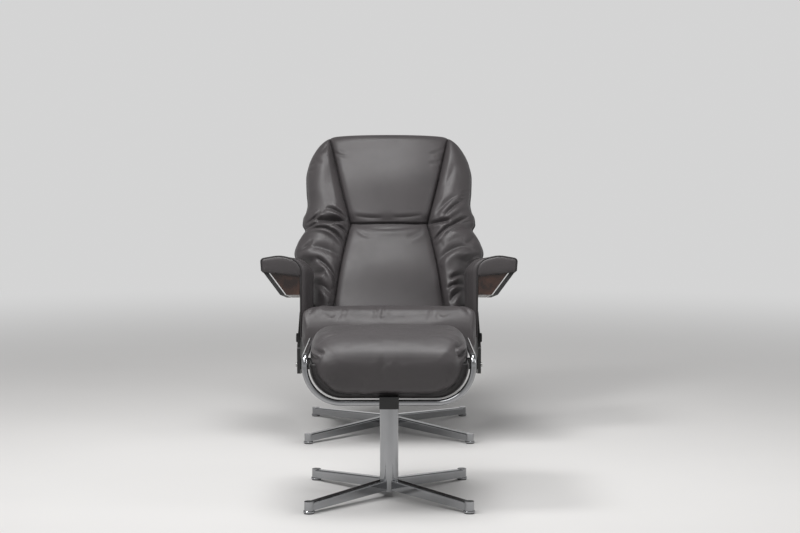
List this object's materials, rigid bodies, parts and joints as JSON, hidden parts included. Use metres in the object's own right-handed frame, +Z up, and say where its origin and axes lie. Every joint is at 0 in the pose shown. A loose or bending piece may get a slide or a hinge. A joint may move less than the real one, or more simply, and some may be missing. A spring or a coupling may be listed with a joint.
{
  "type": "swivel recliner with footstool",
  "caption": "Leather relax chair on a swivelling star base with reclining back, tilting head rest and padded armrests, with a matching swivelling footstool on a bent tube frame.",
  "frame": {"origin": "on the floor, in the middle of the box round chair and stool", "axes": "+Z up, the chair faces -Y towards the stool, +X to the right of someone who faces the chair"},
  "size_m": [0.814, 1.6354, 0.9749],
  "materials": {
    "grey_leather": "semi-matte smooth grain",
    "polished_metal": "polished",
    "black_steel": "satin powder coat",
    "zinc_steel": "zinc plated",
    "black_plastic": "fine texture",
    "walnut": "dark stained, satin lacquer",
    "beech": "stained black",
    "webbing": "elastic webbing"
  },
  "bodies": {
    "chair_base": {"chair_legs": "polished_metal", "chair_column": "polished_metal", "chair_glide_discs": "polished_metal", "chair_glide_soles": "black_plastic", "chair_leg_bolts": "zinc_steel", "chair_swivel_bush": "black_plastic"},
    "chassis": {"swivel_spindle": "black_steel", "swivel_plate": "black_steel", "chassis_bolts": "zinc_steel", "front_cross_beam": "black_steel", "rear_cross_beam": "black_steel", "recline_pivot_bolts": "zinc_steel", "arm_trims": "polished_metal", "arm_edge_bands": "black_plastic", "side_plate_left": "black_steel", "side_plate_right": "black_steel", "seat_runner_left": "black_steel", "seat_runner_right": "black_steel", "arm_pad_left": "grey_leather", "arm_pad_right": "grey_leather", "arm_panel_left": "black_plastic", "arm_panel_right": "black_plastic", "arm_wedge_left": "walnut", "arm_wedge_right": "walnut"},
    "knob_left": {"tension_knob_left": "black_plastic"},
    "knob_right": {"tension_knob_right": "black_plastic"},
    "seat": {"seat_side_rail_left": "beech", "seat_side_rail_right": "beech", "seat_front_rail": "beech", "seat_rear_rail": "beech", "seat_webbing": "webbing", "seat_slide_shoes": "black_plastic", "seat_cushion": "grey_leather"},
    "back": {"back_bar_left": "black_steel", "back_bar_right": "black_steel", "back_cross_bar": "beech", "back_cushion": "grey_leather", "back_wing_left": "grey_leather", "back_wing_right": "grey_leather", "back_shell": "grey_leather"},
    "head": {"head_bar_left": "black_steel", "head_bar_right": "black_steel", "head_cushion": "grey_leather", "head_wing_left": "grey_leather", "head_wing_right": "grey_leather", "head_shell": "grey_leather"},
    "stool_base": {"stool_legs": "polished_metal", "stool_column": "polished_metal", "stool_glide_discs": "polished_metal", "stool_glide_soles": "black_plastic", "stool_leg_bolts": "zinc_steel", "stool_swivel_bush": "black_plastic"},
    "stool_top": {"stool_spindle": "black_steel", "stool_carrier_beam": "black_steel", "stool_tube_clamps": "black_steel", "stool_clamp_bolts": "zinc_steel", "stool_tube_frame": "polished_metal", "stool_pan": "black_plastic", "stool_cushion": "grey_leather"}
  },
  "joints": [
    {"name": "chair_swivel", "type": "hinge", "parent": "chair_base", "child": "chassis", "pos_m": [0, 0.40572, 0.19], "axis": [0, 0, 1], "continuous": true},
    {"name": "back_recline", "type": "hinge", "parent": "chassis", "child": "back", "pos_m": [0, 0.52572, 0.387], "axis": [-1, 0, 0], "range_deg": [0, 25]},
    {"name": "seat_glide", "type": "slide", "parent": "chassis", "child": "seat", "axis": [0, -0.9945, 0.1045], "range_m": [0, 0.031]},
    {"name": "head_tilt", "type": "hinge", "parent": "back", "child": "head", "pos_m": [0, 0.65723, 0.65664], "axis": [1, 0, 0], "range_deg": [0, 25]},
    {"name": "knob_left_turn", "type": "hinge", "parent": "chassis", "child": "knob_left", "pos_m": [-0.3, 0.46572, 0.3], "axis": [1, 0, 0], "continuous": true},
    {"name": "knob_right_turn", "type": "hinge", "parent": "chassis", "child": "knob_right", "pos_m": [0.3, 0.46572, 0.3], "axis": [1, 0, 0], "continuous": true},
    {"name": "stool_place", "type": "slide", "parent": "chair_base", "child": "stool_base", "axis": [0, 1, 0], "range_m": [-0.25, 0.15]},
    {"name": "stool_swivel", "type": "hinge", "parent": "stool_base", "child": "stool_top", "pos_m": [0, -0.59928, 0.28], "axis": [0, 0, 1], "continuous": true}
  ],
  "couplings": [
    {"joint": "seat_glide", "follows": "back_recline", "m_per_rad": 0.07}
  ]
}
